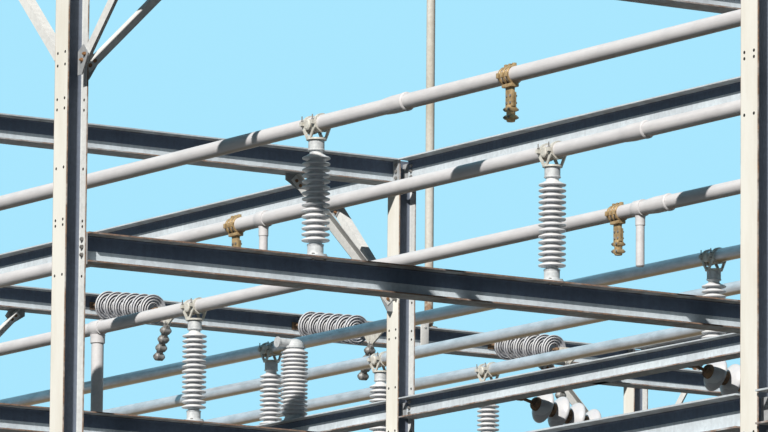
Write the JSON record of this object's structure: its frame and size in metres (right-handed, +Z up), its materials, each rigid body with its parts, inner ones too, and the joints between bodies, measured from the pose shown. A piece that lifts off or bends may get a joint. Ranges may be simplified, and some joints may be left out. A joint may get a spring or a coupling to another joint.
{
  "type": "substation bus support structure",
  "caption": "Bolted steel frame of an outdoor substation with tubular busbars on post insulators, strain strings and knee braces, open bays below.",
  "frame": {"origin": "on the ground at the centre of the column grid", "axes": "+X across the phases from the near line of columns to the far line, +Y along the bus tubes from row 1 to row 4, +Z up"},
  "size_m": [15, 24, 14.84],
  "materials": {
    "column_steel": "weathered galvanising with a warm white cast and brown edges",
    "beam_steel": "weathered blue-grey galvanising with rust-brown flange edges",
    "connection_plate": "dull galvanised plate, bolted",
    "brace_steel": "dull galvanised angle",
    "porcelain": "pale grey glaze with dirt below the sheds",
    "cast_fitting": "galvanised casting",
    "cast_aluminium": "dull sand-cast aluminium",
    "bus_aluminium": "oxidised extruded tube",
    "bronze": "weathered tan bronze",
    "rusty_link": "rusty galvanised forging",
    "mast_steel": "weathered galvanised pipe"
  },
  "bodies": {
    "root": {"near_line_columns": "column_steel", "middle_line_columns": "column_steel", "far_line_columns": "column_steel", "high_cross_beams_row_1": "beam_steel", "high_cross_beams_row_2": "beam_steel", "high_cross_beams_row_3": "beam_steel", "high_cross_beams_row_4": "beam_steel", "low_cross_beam_row_1": "beam_steel", "low_cross_beam_row_2": "beam_steel", "low_cross_beam_row_3": "beam_steel", "low_cross_beam_row_4": "beam_steel", "near_line_high_beams": "beam_steel", "middle_line_high_beams": "beam_steel", "far_line_high_beams": "beam_steel", "near_line_low_beams": "beam_steel", "middle_line_low_beams": "beam_steel", "far_line_low_beam": "beam_steel", "rear_stringers": "beam_steel", "end_plates": "connection_plate", "shear_tabs": "connection_plate", "knee_braces_across": "brace_steel", "knee_braces_along": "brace_steel", "gussets_across": "connection_plate", "gussets_along": "connection_plate", "post_porcelain_row_1": "porcelain", "post_porcelain_row_2": "porcelain", "post_porcelain_row_3": "porcelain", "post_porcelain_row_4": "porcelain", "post_caps": "cast_fitting", "post_bases": "cast_fitting", "bus_clamps": "cast_aluminium", "main_tube_1": "bus_aluminium", "main_tube_2": "bus_aluminium", "main_tube_3": "bus_aluminium", "tube_couplers": "cast_aluminium", "tube_stubs": "bus_aluminium", "tap_clamps": "bronze", "rear_tubes": "bus_aluminium", "rear_post_porcelain": "porcelain", "rear_post_metal": "cast_fitting", "arrester_porcelain": "porcelain", "arrester_metal": "cast_fitting", "string_discs": "porcelain", "string_metal": "rusty_link", "yoke_plates": "cast_aluminium", "mast": "mast_steel"}
  },
  "joints": []
}
